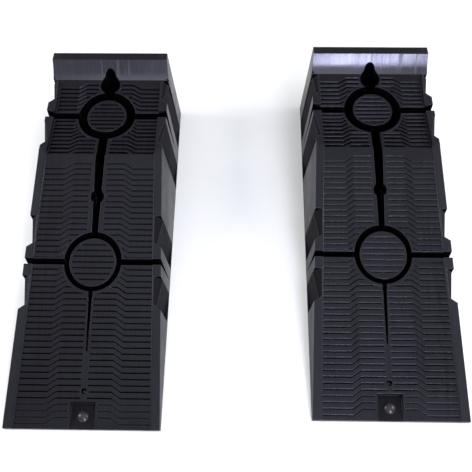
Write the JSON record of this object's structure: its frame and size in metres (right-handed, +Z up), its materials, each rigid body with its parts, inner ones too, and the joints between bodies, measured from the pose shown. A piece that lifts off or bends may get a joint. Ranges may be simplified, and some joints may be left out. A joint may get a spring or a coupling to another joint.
{
  "type": "drive-on vehicle ramp pair",
  "caption": "Pair of moulded plastic drive-on vehicle ramps with grooved incline, level platform, curved wheel stop and a rubber grip pad riveted under each toe.",
  "frame": {"origin": "centre of the pair's bounding box at floor level", "axes": "+Z up from the floor; +Y from the ramp toes towards the wheel stops, the way a vehicle drives up; +X across the pair, from the left ramp to the right one seen from the toes"},
  "size_m": [1.073, 0.977, 0.247],
  "materials": {
    "moulded_plastic": "near-black moulded polyethylene with a soft satin sheen",
    "pad_rubber": "black ribbed rubber",
    "rivet_plastic": "black glossy nylon",
    "washer_steel": "bright zinc"
  },
  "bodies": {
    "left_ramp": {"left_ramp_shell": "moulded_plastic", "left_toe_pad": "pad_rubber", "left_pad_rivet": "rivet_plastic", "left_pad_washer": "washer_steel"},
    "right_ramp": {"right_ramp_shell": "moulded_plastic", "right_toe_pad": "pad_rubber", "right_pad_rivet": "rivet_plastic", "right_pad_washer": "washer_steel"}
  },
  "joints": [
    {"name": "pair_spacing", "type": "slide", "parent": "left_ramp", "child": "right_ramp", "axis": [1, 0, 0], "range_m": [-0.33, 1.05]}
  ]
}
